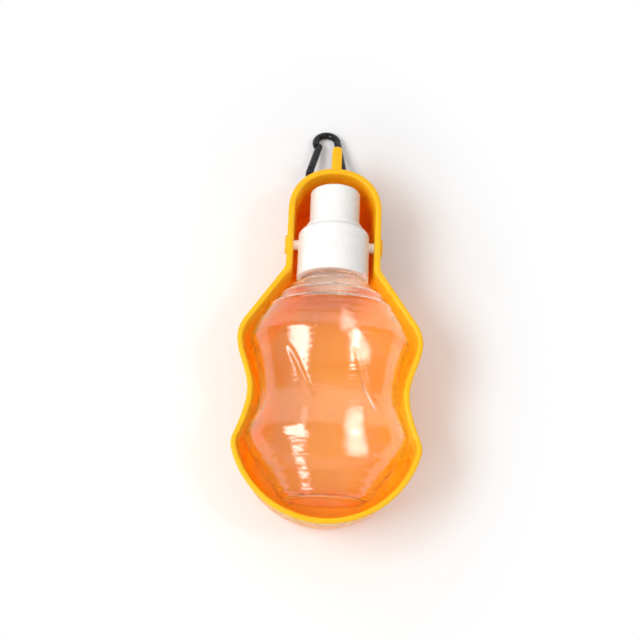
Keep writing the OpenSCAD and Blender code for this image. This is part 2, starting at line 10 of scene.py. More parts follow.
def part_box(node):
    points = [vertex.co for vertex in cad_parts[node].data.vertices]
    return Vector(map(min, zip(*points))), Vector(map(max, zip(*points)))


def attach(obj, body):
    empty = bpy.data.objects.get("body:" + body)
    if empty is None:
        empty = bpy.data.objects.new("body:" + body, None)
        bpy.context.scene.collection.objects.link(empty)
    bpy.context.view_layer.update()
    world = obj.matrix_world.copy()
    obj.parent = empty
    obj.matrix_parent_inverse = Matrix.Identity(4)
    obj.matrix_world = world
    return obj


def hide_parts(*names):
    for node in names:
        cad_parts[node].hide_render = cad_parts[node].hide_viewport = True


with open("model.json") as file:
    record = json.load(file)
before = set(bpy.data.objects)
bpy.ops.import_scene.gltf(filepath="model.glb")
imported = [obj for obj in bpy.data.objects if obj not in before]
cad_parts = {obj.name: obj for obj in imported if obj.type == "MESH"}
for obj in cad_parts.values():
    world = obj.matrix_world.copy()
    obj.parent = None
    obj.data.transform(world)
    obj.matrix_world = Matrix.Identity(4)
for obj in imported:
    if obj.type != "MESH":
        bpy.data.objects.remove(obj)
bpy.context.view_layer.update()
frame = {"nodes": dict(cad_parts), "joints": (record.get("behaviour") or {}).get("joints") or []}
mm = 0.001

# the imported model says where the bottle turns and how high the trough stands
pivot = next(j for j in frame["joints"] if j["name"] == "bottle_swing")["pos_m"]
pivotY, pivotZ = pivot[1] / mm, pivot[2] / mm
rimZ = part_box("tray")[1].z / mm
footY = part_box("tray")[0].y / mm

# ---- camera ----

cameraView = {
    "position": (-0.01323, -0.18183, 0.56323),  # metres
    "tilt": 20.0,                               # degrees from straight down
    "roll": -4.915,
    "turn": -2.4317,                            # how the trough lies across the picture
    "lens": 67.5,                               # mm, on the sensor's width
    "sensor": 36,
    "sees": (0.01, 20),                         # metres, from the nearest to the farthest
}


def makeCamera(view):
    tilt, roll, turn = (math.radians(view[k]) for k in ("tilt", "roll", "turn"))
    across = Vector((math.cos(turn), math.sin(turn), 0))
    along = Vector((-math.sin(turn), math.cos(turn), 0))
    up = along * math.cos(tilt) + Vector((0, 0, math.sin(tilt)))
    ahead = along * math.sin(tilt) - Vector((0, 0, math.cos(tilt)))
    right = across * math.cos(roll) - up * math.sin(roll)
    top = across * math.sin(roll) + up * math.cos(roll)
    data = bpy.data.cameras.new("camera")
    data.lens = view["lens"]
    data.sensor_width = view["sensor"]
    data.clip_start, data.clip_end = view["sees"]
    camera = bpy.data.objects.new("camera", data)
    aimed = Matrix((right, top, -ahead)).transposed().to_4x4()
    camera.matrix_world = Matrix.Translation(view["position"]) @ aimed
    bpy.context.scene.collection.objects.link(camera)
    bpy.context.scene.camera = camera


makeCamera(cameraView)
print("camera placed")

# ---- node helpers ----


def addNode(tree, kind, settings=(), **inputs):
    node = tree.nodes.new(kind)
    for name, value in dict(settings).items():
        setattr(node, name, value)
    for name, value in inputs.items():
        fill(tree, node.inputs[name.replace("_", " ")], value)
    return node


def fill(tree, socket, value):
    # a socket is linked, anything else is its plain value
    if isinstance(value, bpy.types.NodeSocket):
        tree.links.new(value, socket)
    else:
        socket.default_value = value


def startMaterial(name):
    material = bpy.data.materials.new(name)
    material.use_nodes = True
    tree = material.node_tree
    tree.nodes.clear()
    output = tree.nodes.new("ShaderNodeOutputMaterial")
    shader = tree.nodes.new("ShaderNodeBsdfPrincipled")
    tree.links.new(shader.outputs[0], output.inputs[0])
    return material, tree, shader, output


def objectCoords(tree):
    return addNode(tree, "ShaderNodeTexCoord").outputs["Object"]


def stretched(tree, scale):
    return addNode(tree, "ShaderNodeMapping", Vector=objectCoords(tree), Scale=scale).outputs[0]


def noise(tree, scale, detail=3.0, coords=None):
    node = addNode(tree, "ShaderNodeTexNoise", Scale=scale, Detail=detail)
    tree.links.new(coords or objectCoords(tree), node.inputs["Vector"])
    return node.outputs["Fac"]


def between(tree, value, low, high, outLow=0.0, outHigh=1.0):
    node = addNode(tree, "ShaderNodeMapRange", {"interpolation_type": "SMOOTHSTEP"})
    for name, amount in (("Value", value), ("From Min", low), ("From Max", high),
                         ("To Min", outLow), ("To Max", outHigh)):
        fill(tree, node.inputs[name], amount)
    return node.outputs[0]


def mixColour(tree, amount, a, b):
    node = addNode(tree, "ShaderNodeMix", {"data_type": "RGBA"})
    for index, value in ((0, amount), (6, a), (7, b)):
        if index and not isinstance(value, bpy.types.NodeSocket):
            value = (*value, 1.0)
        fill(tree, node.inputs[index], value)
    return node.outputs[2]


def calculate(tree, operation, a, b):
    node = tree.nodes.new("ShaderNodeMath")
    node.operation = operation
    fill(tree, node.inputs[0], a)
    fill(tree, node.inputs[1], b)
    return node.outputs[0]


def bumpFrom(tree, height, distance, strength=1.0, under=None):
    node = addNode(tree, "ShaderNodeBump", Height=height, Distance=distance, Strength=strength)
    if under is not None:
        tree.links.new(under, node.inputs["Normal"])
    return node.outputs[0]


# ---- finishes ----

troughFinish = {
    "deep": (1.0, 0.33, 0.003),      # down inside and on the outer walls
    "rim": (1.0, 0.48, 0.010),       # painted glow: a yellower colour near the rim, standing in for light that passes through the thin edge
    "glowFrom": 0.026,               # heights in metres between which the painted rim glow comes in
    "glowTo": 0.0415,
    "paler": (1.0, 0.6, 0.1),        # what cloudy patches lean to, and how far
    "clouding": 0.06,
    "gloss": 0.25,
    "roughness": (0.26, 0.40),
    "hair": (1500.0, 60.0, 0.12),    # fine scratches: how close across and along, and how much duller
    "seepage": 0.009,                # how far light travels inside the plastic, and its red, green and blue
    "spread": (1.0, 0.6, 0.08),
    "seeps": (1.0, 0.35),            # how much of it does, down inside and at the rim
    "passing": (0.64, 0.42, 0.22),   # what one face of the wall lets through of a lamp
}
bottleFinish = {
    "tint": (0.985, 0.975, 0.965),
    "paintedNeckBounce": (0.98, 0.80, 0.68),  # painted bounce: the neck and foot, where the plastic is thick, take a peach tint that stands in for the trough's orange light caught in them
    "neckFrom": (0.013, 0.029),      # metres along the bottle between which that comes in
    "footFrom": (-0.071, -0.0755),
    "roughness": (0.010, 0.045),
    "hair": (900.0, 90.0, 0.03),
    "streaks": 0.00020,              # metres of unevenness left by the blowing, long across the bottle
    "streaksEvery": (110.0, 620.0, 110.0),
    "index": 1.575,
    "passing": (0.95, 0.93, 0.91),
    # how far a face is turned away, and how plain to see through it then is: from outside, then from in
    # the wall
    "edges": ((0.66, 0.88, 0.0, 0.95), (0.18, 0.36, 0.0, 0.9)),
}
capFinish = {
    "colour": (0.90, 0.885, 0.865),
    "shade": (0.875, 0.855, 0.83),
    "roughness": (0.24, 0.36),
    "hair": (1700.0, 80.0, 0.1),
    "seepage": 0.0015,
    "spread": (1.0, 0.8, 0.6),
    "seeps": 0.1,
}
hookFinish = {
    "colour": (0.012, 0.012, 0.013),
    "worn": (0.03, 0.03, 0.033),
    "roughness": (0.16, 0.34),
    "gloss": 0.3,
}
steelFinish = {
    "dark": (0.42, 0.42, 0.44),
    "light": (0.58, 0.58, 0.60),
    "roughness": (0.22, 0.42),
    "turned": (5000.0, 5000.0, 300.0),   # how close the drawing lines lie, along each axis
}


def scuffed(tree, roughness, across, along, duller):
    # a roughness with fine hair scratches added, long in one direction
    fine = noise(tree, 1.0, 2.0, stretched(tree, (across, along, across)))
    hair = between(tree, fine, 0.60, 0.72)
    return calculate(tree, "ADD", roughness, calculate(tree, "MULTIPLY", hair, duller))


def letLightIn(tree, shader, look, share):
    # light that travels on inside the plastic
    shader.inputs["Subsurface Radius"].default_value = look["spread"]
    shader.inputs["Subsurface Scale"].default_value = look["seepage"]
    fill(tree, shader.inputs["Subsurface Weight"], share)


def letLampsThrough(tree, shader, output, colour, edges=()):
    # see-through to lamps alone, so that what lies behind is lit in this colour, and at a glass edge
    clearTo = addNode(tree, "ShaderNodeLightPath").outputs["Is Shadow Ray"]
    if edges:
        facing = addNode(tree, "ShaderNodeLayerWeight", Blend=0.5).outputs["Facing"]
        fromInside = addNode(tree, "ShaderNodeNewGeometry").outputs["Backfacing"]
        outside, inside = (between(tree, facing, *edge) for edge in edges)
        clearTo = calculate(tree, "MAXIMUM", clearTo, outside)
        clearTo = calculate(tree, "MAXIMUM", clearTo, calculate(tree, "MULTIPLY", fromInside, inside))
    passing = addNode(tree, "ShaderNodeBsdfTransparent", Color=(*colour, 1.0))
    both = addNode(tree, "ShaderNodeMixShader")
    for index, socket in enumerate((clearTo, shader.outputs[0], passing.outputs[0])):
        tree.links.new(socket, both.inputs[index])
    tree.links.new(both.outputs[0], output.inputs[0])


def orangePlastic(look):
    material, tree, shader, output = startMaterial("orangePlastic")
    height = addNode(tree, "ShaderNodeSeparateXYZ", Vector=objectCoords(tree)).outputs["Z"]
    # painted glow: the colour turns from the deep orange to a yellower one towards the rim, in place of light
    # passing through the thin edge
    glow = between(tree, height, look["glowFrom"], look["glowTo"])
    cloud = noise(tree, 45.0, 4.0)
    colour = mixColour(tree, glow, look["deep"], look["rim"])
    paler = mixColour(tree, look["clouding"], colour, look["paler"])
    letLightIn(tree, shader, look, between(tree, height, look["glowFrom"], look["glowTo"], *look["seeps"]))
    shader.inputs["Specular IOR Level"].default_value = look["gloss"]
    fill(tree, shader.inputs["Base Color"], mixColour(tree, between(tree, cloud, 0.4, 0.75), colour, paler))
    worn = between(tree, noise(tree, 120.0), 0.3, 0.7, *look["roughness"])
    fill(tree, shader.inputs["Roughness"], scuffed(tree, worn, *look["hair"]))
    grain = bumpFrom(tree, noise(tree, 2600.0, 2.0), 0.00003)
    fill(tree, shader.inputs["Normal"], bumpFrom(tree, noise(tree, 28.0, 2.0), 0.0003, 0.5, grain))
    letLampsThrough(tree, shader, output, look["passing"])
    return material


def clearPlastic(look):
    material, tree, shader, output = startMaterial("clearPlastic")
    along = addNode(tree, "ShaderNodeSeparateXYZ", Vector=objectCoords(tree)).outputs["Y"]
    # painted bounce: towards the neck and foot the base colour turns peach, in place of the trough's orange
    # light seen in the thick plastic
    neck, foot = (between(tree, along, *look[end]) for end in ("neckFrom", "footFrom"))
    thick = calculate(tree, "MAXIMUM", neck, foot)
    fill(tree, shader.inputs["Base Color"], mixColour(tree, thick, look["tint"], look["paintedNeckBounce"]))
    shader.inputs["Transmission Weight"].default_value = 1.0
    shader.inputs["IOR"].default_value = look["index"]
    smudge = between(tree, noise(tree, 60.0, 5.0), 0.45, 0.8, *look["roughness"])
    fill(tree, shader.inputs["Roughness"], scuffed(tree, smudge, *look["hair"]))
    streaks = noise(tree, 1.0, 3.0, stretched(tree, look["streaksEvery"]))
    fill(tree, shader.inputs["Normal"], bumpFrom(tree, streaks, look["streaks"]))
    letLampsThrough(tree, shader, output, look["passing"], look["edges"])
    return material


def whitePlastic(look):
    material, tree, shader, output = startMaterial("whitePlastic")
    cloud = between(tree, noise(tree, 70.0, 4.0), 0.45, 0.8)
    fill(tree, shader.inputs["Base Color"], mixColour(tree, cloud, look["colour"], look["shade"]))
    worn = between(tree, noise(tree, 150.0), 0.3, 0.7, *look["roughness"])
    fill(tree, shader.inputs["Roughness"], scuffed(tree, worn, *look["hair"]))
    letLightIn(tree, shader, look, look["seeps"])
    fill(tree, shader.inputs["Normal"], bumpFrom(tree, noise(tree, 1900.0, 2.0), 0.00002))
    return material


def blackEnamel(look):
    material, tree, shader, output = startMaterial("blackEnamel")
    rubbed = between(tree, noise(tree, 260.0, 5.0), 0.58, 0.72)
    fill(tree, shader.inputs["Base Color"], mixColour(tree, rubbed, look["colour"], look["worn"]))
    worn = between(tree, noise(tree, 420.0, 3.0), 0.3, 0.7, *look["roughness"])
    fill(tree, shader.inputs["Roughness"], worn)
    fill(tree, shader.inputs["Normal"], bumpFrom(tree, noise(tree, 700.0, 3.0), 0.00005))
    shader.inputs["Specular IOR Level"].default_value = look["gloss"]
    return material


def plainSteel(look):
    material, tree, shader, output = startMaterial("plainSteel")
    tone = between(tree, noise(tree, 800.0, 4.0), 0.3, 0.7)
    fill(tree, shader.inputs["Base Color"], mixColour(tree, tone, look["dark"], look["light"]))
    shader.inputs["Metallic"].default_value = 1.0
    turned = noise(tree, 1.0, 2.0, stretched(tree, look["turned"]))
    fill(tree, shader.inputs["Roughness"], between(tree, turned, 0.3, 0.7, *look["roughness"]))
    fill(tree, shader.inputs["Normal"], bumpFrom(tree, turned, 0.00002))
    return material


def silicone(name, colour):
    material, tree, shader, output = startMaterial(name)
    darker = tuple(0.85 * c for c in colour)
    cloud = between(tree, noise(tree, 300.0, 3.0), 0.35, 0.75)
    fill(tree, shader.inputs["Base Color"], mixColour(tree, cloud, colour, darker))
    fill(tree, shader.inputs["Roughness"], between(tree, noise(tree, 500.0), 0.3, 0.7, 0.42, 0.6))
    fill(tree, shader.inputs["Normal"], bumpFrom(tree, noise(tree, 1500.0), 0.00003))
    return material


orange = orangePlastic(troughFinish)
clear = clearPlastic(bottleFinish)
white = whitePlastic(capFinish)
enamel = blackEnamel(hookFinish)
steel = plainSteel(steelFinish)
paleSilicone = silicone("paleSilicone", (0.62, 0.64, 0.65))
darkSilicone = silicone("darkSilicone", (0.03, 0.03, 0.032))
print("finishes made")

# ---- mesh helpers ----


def smoothStep(t):
    # from 0 to 1, level at both ends
    t = min(1.0, max(0.0, t))
    return t * t * (3 - 2 * t)


def cubic(t, a, b, slopeA, slopeB, run):
    # from a to b over a run, with given slopes at its ends
    return a + (b - a) * smoothStep(t) + run * (slopeA * (t**3 - 2 * t * t + t) + slopeB * (t**3 - t * t))


def eased(d, rise, run, bendIn, bendOut):
    # a straight slope, eased in and out
    slope = rise / (run - (bendIn + bendOut) / 2)
    if d <= 0:
        return 0.0
    if d < bendIn:
        return slope * d * d / (2 * bendIn)
    if d < run - bendOut:
        return slope * (d - bendIn / 2)
    return rise - slope * (run - d)**2 / (2 * bendOut) if d < run else rise


def spread(low, high, count):
    return [low + (high - low) * k / (count - 1) for k in range(count)]


def loft(rings):
    # closed solid over a list of rings of equal length, in millimetres
    around = len(rings[0])
    points = [tuple(c * mm for c in p) for ring in rings for p in ring]
    faces = [tuple(range(around))[::-1], tuple(range((len(rings) - 1) * around, len(rings) * around))]
    for k in range(len(rings) - 1):
        for i in range(around):
            j = (i + 1) % around
            faces.append((k * around + i, k * around + j, (k + 1) * around + j, (k + 1) * around + i))
    return points, faces


def meshPiece(name, points, faces, material):
    mesh = bpy.data.meshes.new(name)
    mesh.from_pydata(points, [], faces)
    mesh.materials.append(material)
    work = bmesh.new()
    work.from_mesh(mesh)
    bmesh.ops.recalc_face_normals(work, faces=work.faces)
    work.to_mesh(mesh)
    work.free()
    mesh.shade_smooth()
    piece = bpy.data.objects.new(name, mesh)
    bpy.context.scene.collection.objects.link(piece)
    return piece


def applied(piece):
    # the evaluated mesh takes the place of the mesh and its modifiers
    bpy.context.view_layer.update()
    seen = piece.evaluated_get(bpy.context.evaluated_depsgraph_get())
    mesh = bpy.data.meshes.new_from_object(seen)
    piece.modifiers.clear()
    if piece.type == "MESH":
        piece.data = mesh
        return piece
    made = bpy.data.objects.new(piece.name, mesh)
    bpy.context.scene.collection.objects.link(made)
    bpy.data.objects.remove(piece)
    return made


def boolean(piece, tool, operation):
    step = piece.modifiers.new(operation, "BOOLEAN")
    step.object = tool
    step.operation = operation
    step.solver = "EXACT"
    applied(piece)
    bpy.data.objects.remove(tool)
    return piece


def sharpen(piece, degrees):
    piece.data.shade_smooth()
    piece.data.set_sharp_from_angle(angle=math.radians(degrees))


def dress(piece, body, slotName, *nodes):
    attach(piece, body)
    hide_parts(*nodes)
    return piece


nearAxis = 0.01   # mm, where a turned profile starts and ends


def lathePiece(name, profile, steps, material):
    # profile: (radius, height) pairs from near the axis out and back to it, turned about Z
    rings = [[(r * math.cos(a), r * math.sin(a), z) for a in spread(0, 2 * math.pi * (1 - 1 / steps), steps)]
             for r, z in profile]
    points, faces = loft(rings)
    return meshPiece(name, points, faces, material)


def block(name, low, high, material):
    # a box between two corners, in millimetres
    square = ((low[0], low[1]), (high[0], low[1]), (high[0], high[1]), (low[0], high[1]))
    corners = [[(x, y, z) for x, y in square] for z in (low[2], high[2])]
    return meshPiece(name, *loft(corners), material)


def askFor(tree, name, kind):
    # a value that a node tree takes in, and the name that it is set by
    return tree.interface.new_socket(name, in_out="INPUT", socket_type=kind).identifier


def finishTree(tree, geometry, material):
    real = addNode(tree, "GeometryNodeRealizeInstances", Geometry=geometry)
    painted = addNode(tree, "GeometryNodeSetMaterial", Geometry=real.outputs[0], Material=material)
    tree.links.new(painted.outputs[0], tree.nodes.new("NodeGroupOutput").inputs[0])


def grown(name, data, group, values):
    # an object whose mesh is what a node tree makes of it
    tree, asked = group
    piece = bpy.data.objects.new(name, data)
    bpy.context.scene.collection.objects.link(piece)
    step = piece.modifiers.new(name, "NODES")
    step.node_group = tree
    for socket, value in values.items():
        step[asked[socket]] = value
    made = applied(piece)
    made.data.shade_smooth()
    return made


# ---- trough ----

# millimetres and degrees; what ends in At is a distance from the pivot axis towards the foot
trough = {
    "capRadius": 17.0, "neckGap": 2.5, "neckWall": 2.9, "wall": 2.6, "floor": 2.2,
    "sideGap": 2.8, "lowerExtra": 0.8, "lowerShift": 3.8, "cornerReach": 3.0, "cornerSlope": 0.35,
    "upperWidth": 75.2, "waistWidth": 63.2, "lowerWidth": 74.4,
    "flareAt": 11.4, "upperAt": 48.9, "waistAt": 74.3, "lowerAt": 95.0,
    "headDraft": 4.0, "footDraft": 6.0, "floorRound": 9.0, "rimRound": 0.9, "headPower": 2 / 2.15,
    "socketRadius": 2.56, "socketDepth": 2.4,
    "bossRadius": 4.5, "bossOut": 0.9, "bossSunk": 0.6, "bossEdge": 0.35,
    "flareBends": (4, 10), "wallChange": 20,
    "headPoints": 41, "sidePoints": 111, "cornerPoints": 13, "footPoints": 41, "sharpFrom": 38,
}
ear = {
    "thick": 4.8, "length": 12.3, "slotWide": 6.6, "slotLong": 16.0, "slotHeight": 12.0,
    "rim": 3.2, "corner": 1.2, "edge": 0.6,
    "underRim": 0.27, "sunk": 1.6,   # how far its top lies under the rim, and its root in the wall
    "blunt": 0.02,                   # the tip keeps the root of this share of its thickness
}


class Outline:
    # half outline of the trough, head to foot, by distances below the pivot axis

    def __init__(self, size):
        self.size = size
        self.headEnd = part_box("tray")[1].y / mm - ear["length"] - pivotY
        self.footEnd = pivotY - footY
        self.neckHalf = size["capRadius"] + size["neckGap"] + size["neckWall"]
        side = size["sideGap"] + size["wall"]
        self.upperHalf = size["upperWidth"] / 2 + side
        self.waistHalf = size["waistWidth"] / 2 + side
        self.lowerHalf = size["lowerWidth"] / 2 + side + size["lowerExtra"]
        self.cornerAt = size["lowerAt"] + size["lowerShift"]
        reach = self.footEnd - self.cornerAt
        self.footCentre = (self.footEnd + self.cornerAt - self.lowerHalf**2 / reach) / 2
        self.footRadius = self.footEnd - self.footCentre

    def sideHalf(self, d):
        # half width of the side at one distance
        size = self.size
        upperAt, waistAt = size["upperAt"], size["waistAt"]
        if d < upperAt:
            rise = self.upperHalf - self.neckHalf
            run = upperAt - size["flareAt"]
            return self.neckHalf + eased(d - size["flareAt"], rise, run, *size["flareBends"])
        if d < waistAt:
            t = (d - upperAt) / (waistAt - upperAt)
            return self.upperHalf + (self.waistHalf - self.upperHalf) * smoothStep(t)
        run = self.cornerAt - waistAt
        return cubic((d - waistAt) / run, self.waistHalf, self.lowerHalf, 0, size["cornerSlope"], run)

    def wallAt(self, d):
        size = self.size
        share = smoothStep((d - size["flareAt"]) / size["wallChange"])
        return size["neckWall"] + (size["wall"] - size["neckWall"]) * share

    def drawn(self, d, depth, walls, extra):
        # how far the outline is drawn in: by the draft at a depth, by whole walls, and by more
        size = self.size
        share = smoothStep((d + self.headEnd) / (self.footEnd + self.headEnd))
        draft = size["headDraft"] + (size["footDraft"] - size["headDraft"]) * share
        return depth * math.tan(math.radians(draft)) + walls * self.wallAt(d) + extra

    def footPoint(self, a, *inset):
        radius = self.footRadius - self.drawn(self.footCentre + self.footRadius * math.sin(a), *inset)
        return radius * math.cos(a), self.footCentre + radius * math.sin(a)

    def half(self, *inset):
        # right half, from the middle of the head to the middle of the foot; inset is as drawn takes it
        size, points = self.size, []
        headCentre = self.neckHalf - self.headEnd
        headRadius = self.neckHalf - self.drawn(-self.headEnd, *inset)
        for a in spread(math.pi / 2, 0, size["headPoints"])[:-1]:
            points.append((headRadius * math.cos(a)**size["headPower"],
                           headCentre - headRadius * math.sin(a)**size["headPower"]))
        cornerAngle = math.atan2(self.cornerAt - self.footCentre, self.lowerHalf)
        cornerIn = self.drawn(self.cornerAt, *inset)
        radius = self.footRadius - cornerIn
        corner = np.array([radius * math.cos(cornerAngle), self.footCentre + radius * math.sin(cornerAngle)])
        slope = size["cornerSlope"]
        endHalf = self.lowerHalf - cornerIn * math.hypot(1, slope)
        sideEnd = corner - size["cornerReach"] * np.array([slope, 1]) / math.hypot(1, slope)
        footStart = cornerAngle + size["cornerReach"] / self.footRadius
        near = 0.2
        for d in spread(headCentre, sideEnd[1], size["sidePoints"])[:-1]:
            slopeHere = (self.sideHalf(d + near) - self.sideHalf(d - near)) / (2 * near)
            here = self.sideHalf(d) - self.drawn(d, *inset) * math.hypot(1, slopeHere)
            share = smoothStep((d - size["waistAt"]) / (self.cornerAt - size["waistAt"]))
            points.append((here + share * (corner[0] - endHalf), d))
        footFirst = np.array(self.footPoint(footStart, *inset))
        for t in spread(0, 1, size["cornerPoints"])[:-1]:
            points.append(tuple((1 - t)**2 * sideEnd + 2 * t * (1 - t) * corner + t * t * footFirst))
        for a in spread(footStart, math.pi / 2, size["footPoints"])[:-1]:
            points.append(self.footPoint(a, *inset))
        return points + [(0.0, self.footEnd - self.drawn(self.footEnd, *inset))]

    def ring(self, z, walls, extra):
        right = self.half(rimZ - z, walls, extra)
        left = [(-x, d) for x, d in right[-2:0:-1]]
        return [(x, pivotY - d, z) for x, d in right + left]


def troughShell(size, outline):
    inner, outer = size["floorRound"] - size["wall"], size["floorRound"]
    bend = [math.radians(a) for a in spread(0, 90, 10)]
    floorIn = [outline.ring(size["floor"] + inner * (1 - math.sin(a)), 1, inner * (1 - math.cos(a)))
               for a in bend[:0:-1]]
    r = size["rimRound"]
    turn = [math.radians(a) for a in spread(0, 90, 6)]
    rimIn = [outline.ring(rimZ - r * (1 - math.sin(a)), 1, -r * (1 - math.cos(a))) for a in turn]
    rimOut = [outline.ring(rimZ - r * (1 - math.sin(a)), 0, r * (1 - math.cos(a))) for a in turn[::-1]]
    innerTop, outerTop = size["floor"] + inner, outer
    wallIn = [outline.ring(z, 1, 0) for z in spread(innerTop, rimZ - r, 10)[:-1]]
    wallOut = [outline.ring(z, 0, 0) for z in spread(rimZ - r, outerTop, 10)[1:]]
    floorOut = [outline.ring(outer * (1 - math.sin(a)), 0, outer * (1 - math.cos(a))) for a in bend[1:]]
    points, faces = loft(floorIn + wallIn + rimIn + rimOut + wallOut + floorOut)
    return meshPiece("trough_shell", points, faces, orange)


def earOutline(size, tip):
    # side view of the ear and its slot: (y, z) loops
    slotR = size["slotWide"] / 2
    slotY = tip - size["rim"] - slotR
    tipR = slotR + size["rim"]
    high = rimZ - size["underRim"]
    root = tip - size["length"] - size["sunk"]
    low = size["slotHeight"] - tipR
    rootLow = root - (rimZ - low) * math.tan(math.radians(trough["headDraft"]))
    c = size["corner"]
    outer = [(root, high), (rootLow, low)]
    outer += [(slotY + tipR * math.cos(a), size["slotHeight"] + tipR * math.sin(a))
              for a in spread(-math.pi / 2, 0, 19)]
    outer += [(tip - c + c * math.cos(a), high - c + c * math.sin(a)) for a in spread(0, math.pi / 2, 8)]
    topZ = size["slotHeight"] + size["slotLong"] - size["slotWide"]
    slot = [(slotY + slotR * math.cos(a), topZ + slotR * math.sin(a)) for a in spread(0, math.pi, 19)]
    slot += [(slotY + slotR * math.cos(a), size["slotHeight"] + slotR * math.sin(a))
             for a in spread(math.pi, 2 * math.pi, 19)]
    return outer, slot


def earPlate(size):
    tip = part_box("tray")[1].y / mm
    curve = bpy.data.curves.new("ear_outline", "CURVE")
    curve.dimensions = "2D"
    curve.fill_mode = "BOTH"
    for loop in earOutline(size, tip):
        line = curve.splines.new("POLY")
        line.points.add(len(loop) - 1)
        for point, (y, z) in zip(line.points, loop):
            point.co = (y * mm, z * mm, 0, 1)
        line.use_cyclic_u = True
    curve.bevel_depth = size["edge"] * mm
    curve.bevel_resolution = 3
    curve.offset = -size["edge"] * mm
    curve.extrude = (size["thick"] / 2 - size["edge"]) * mm
    drawn = bpy.data.objects.new("ear", curve)
    bpy.context.scene.collection.objects.link(drawn)
    piece = applied(drawn)
    # the curve lies in XY: its X is the trough's Y, its Y the height
    piece.data.transform(Matrix(((0, 0, 1, 0), (1, 0, 0, 0), (0, 1, 0, 0), (0, 0, 0, 1))))
    half = size["thick"] / 2
    work = bmesh.new()
    work.from_mesh(piece.data)
    bmesh.ops.remove_doubles(work, verts=work.verts, dist=1e-6)
    # the flat sides are cut across, so that only the tip is drawn in to a round end
    for y in spread(tip - half, tip, 9)[:-1]:
        everything = work.verts[:] + work.edges[:] + work.faces[:]
        bmesh.ops.bisect_plane(work, geom=everything, plane_co=(0, y * mm, 0), plane_no=(0, 1, 0))
    for v in work.verts:
        over = (v.co.y / mm - (tip - half)) / half
        if over > 0:
            v.co.x *= math.sqrt(max(size["blunt"], 1 - over * over))
    bmesh.ops.recalc_face_normals(work, faces=work.faces)
    work.to_mesh(piece.data)
    work.free()
    return piece


def wallFace(size, outline):
    # the head wall's inner face, at the height of the pivot
    return outline.neckHalf - size["neckWall"] - (rimZ - pivotZ) * math.tan(math.radians(size["headDraft"]))


def pivotLathe(name, profile, side):
    # turned about the pivot axis, out to one side
    piece = lathePiece(name, profile, 64, orange)
    sideways = Matrix.Rotation(math.radians(90 * side), 4, "Y")
    piece.data.transform(Matrix.Translation((0, pivotY * mm, pivotZ * mm)) @ sideways)
    return piece


def boss(size, outline, side):
    root = wallFace(size, outline) + size["bossSunk"]
    face = outline.neckHalf + size["bossOut"]
    r, e = size["bossRadius"], size["bossEdge"]
    profile = [(nearAxis, root), (r, root), (r, face - e), (r - 0.3 * e, face - 0.3 * e), (r - e, face),
               (nearAxis, face)]
    return pivotLathe("boss", profile, side)


def socket(size, outline, side):
    r, start, end = size["socketRadius"], size["capRadius"], wallFace(size, outline) + size["socketDepth"]
    return pivotLathe("socket", [(nearAxis, start), (r, start), (r, end), (nearAxis, end)], side)


def makeTrough(size):
    outline = Outline(size)
    piece = troughShell(size, outline)
    boolean(piece, earPlate(ear), "UNION")
    for side in (1, -1):
        boolean(piece, boss(size, outline, side), "UNION")
        boolean(piece, socket(size, outline, side), "DIFFERENCE")
    piece.data.materials.clear()
    piece.data.materials.append(orange)
    sharpen(piece, size["sharpFrom"])
    return dress(piece, "trough", "trough", "tray")


makeTrough(trough)
print("trough made")

# ---- bottle ----

bottle = {
    "capEnd": 17.5, "shoulderAt": 18.5, "mouth": 0.4, "neckRadius": 13.0, "neckWall": 1.6, "rootRadius": 15.8,
    "wall": 1.0, "flatness": 0.73, "hollow": 2.6, "footRound": 2.2, "innerRound": 1.6,
    "innerTurn": 150,        # degrees at which the foot ring's inner round meets the dish
    "upperAt": 48.9, "waistAt": 74.3, "lowerAt": 95.0, "baseAt": 123.8,
    "upperHalf": 37.6, "waistHalf": 31.6, "lowerHalf": 37.2, "baseHalf": 20.2,
    "rootSlope": 1.1, "upperSlopes": (0.25, -0.38), "lowerSlopes": (0.15, -0.05), "baseSlope": -0.35,
    "flatBefore": 3,         # the shoulder is as flat as the body this far above the upper lobe
    "near": 1.2,             # half widths are averaged with those this far above and below
    "ringFall": 1.6,         # how steeply a ring dies away beside its middle
    "around": 288, "firstRow": 19.2, "rows": 150,
    # unevenness of the blown wall, its spacing across and along, and the share and spacing of its finer part
    "lump": 0.10, "lumpEvery": (14.0, 7.0), "fineLump": 0.4, "fineEvery": (5, 2.5),
    "insidePhase": 40.0,     # the inside strays on its own, not with the outside
    "footSlant": 0.35,       # the foot's corner starts along this slope, as a share of its round
    "dishEnd": 0.98,         # the dish ends just short of the bottle's axis
    # inside, from the shoulder into the neck: distance from the cap's end, and how far in from the root
    "funnel": ((1.4, 1.2), (0.2, 2.1), (-0.8, 3.1), (-1.8, 3.9)),
    # outside, the collar under the cap: distance from the cap's end, and radius
    "collar": ((-2.2, 13.4), (-1.9, 14.0), (-1.0, 14.25), (-0.5, 14.2),
               (-0.2, 14.3), (0.1, 15.0), (0.6, 15.3), (1.1, 15.2)),
    "neckEnds": (-2.8, -2.6),   # where the neck is straight from, inside and outside
    # round the mouth, from inside to outside: distance from the mouth, how far out or in from the wall
    "lipInside": ((0.5, 0.0), (0.1, 0.15), (0.0, 0.5)),
    "lipOutside": ((0.0, -0.5), (0.15, -0.12), (0.5, 0.0)),
}
thread = {"ridge": 0.9, "rise": 0.85, "pitch": 3.2, "fromMouth": 3.0, "toCapEnd": 7.7}
# the bottle's own axes, with the mouth up Z, laid along the trough
onBottle = Matrix.Translation((0, pivotY * mm, pivotZ * mm)) @ Matrix.Rotation(math.radians(-90), 4, "X")
